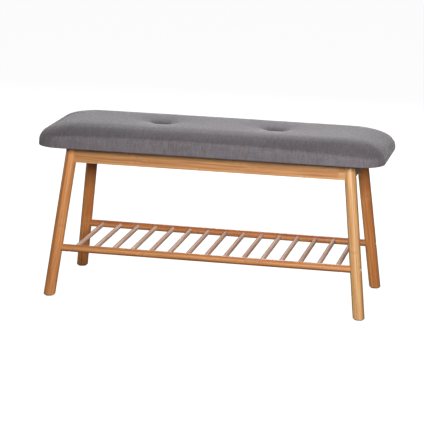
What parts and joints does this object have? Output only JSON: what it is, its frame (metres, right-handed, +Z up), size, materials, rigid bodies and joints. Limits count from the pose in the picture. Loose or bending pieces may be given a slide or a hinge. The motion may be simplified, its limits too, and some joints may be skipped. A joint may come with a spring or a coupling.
{
  "type": "entryway bench",
  "caption": "Long padded seat with sunk tufts on a splayed frame of round bamboo legs, with a low shelf of round slats for shoes.",
  "frame": {"origin": "on the floor under the middle of the seat", "axes": "+X along the seat to the right as seen from the front, -Y is the front, +Z up"},
  "size_m": [0.9, 0.3494, 0.45],
  "materials": {
    "bamboo": "satin",
    "bamboo_pale": "satin",
    "block_wood": "matte",
    "plywood": "matte",
    "seat_fabric": "matte",
    "foam": "matte",
    "dust_fabric": "matte",
    "twine": "matte",
    "anchor_plastic": "matte",
    "glide_plastic": "matte",
    "steel": "satin"
  },
  "bodies": {
    "root": {"apron_back": "bamboo", "apron_bolts": "steel", "apron_dowels": "block_wood", "apron_front": "bamboo", "apron_left": "bamboo", "apron_nuts": "steel", "apron_right": "bamboo", "block_screws": "steel", "corner_block_back_left": "block_wood", "corner_block_back_right": "block_wood", "corner_block_front_left": "block_wood", "corner_block_front_right": "block_wood", "cover_staples": "steel", "dust_cover": "dust_fabric", "end_apron_dowels": "block_wood", "glide_back_left": "glide_plastic", "glide_back_right": "glide_plastic", "glide_front_left": "glide_plastic", "glide_front_right": "glide_plastic", "leg_back_left": "bamboo", "leg_back_right": "bamboo", "leg_front_left": "bamboo", "leg_front_right": "bamboo", "rail_bolts": "steel", "rail_nuts": "steel", "seat_board": "plywood", "seat_cover": "seat_fabric", "seat_foam": "foam", "seat_screws": "steel", "shelf_rail_back": "bamboo", "shelf_rail_front": "bamboo", "shelf_slat_01": "bamboo_pale", "shelf_slat_02": "bamboo_pale", "shelf_slat_03": "bamboo_pale", "shelf_slat_04": "bamboo_pale", "shelf_slat_05": "bamboo_pale", "shelf_slat_06": "bamboo_pale", "shelf_slat_07": "bamboo_pale", "shelf_slat_08": "bamboo_pale", "shelf_slat_09": "bamboo_pale", "shelf_slat_10": "bamboo_pale", "shelf_slat_11": "bamboo_pale", "shelf_slat_12": "bamboo_pale", "shelf_slat_13": "bamboo_pale", "shelf_slat_14": "bamboo_pale", "shelf_slat_15": "bamboo_pale", "tuft_anchor_left": "anchor_plastic", "tuft_anchor_right": "anchor_plastic", "tuft_twine_left": "twine", "tuft_twine_right": "twine"}
  },
  "joints": []
}
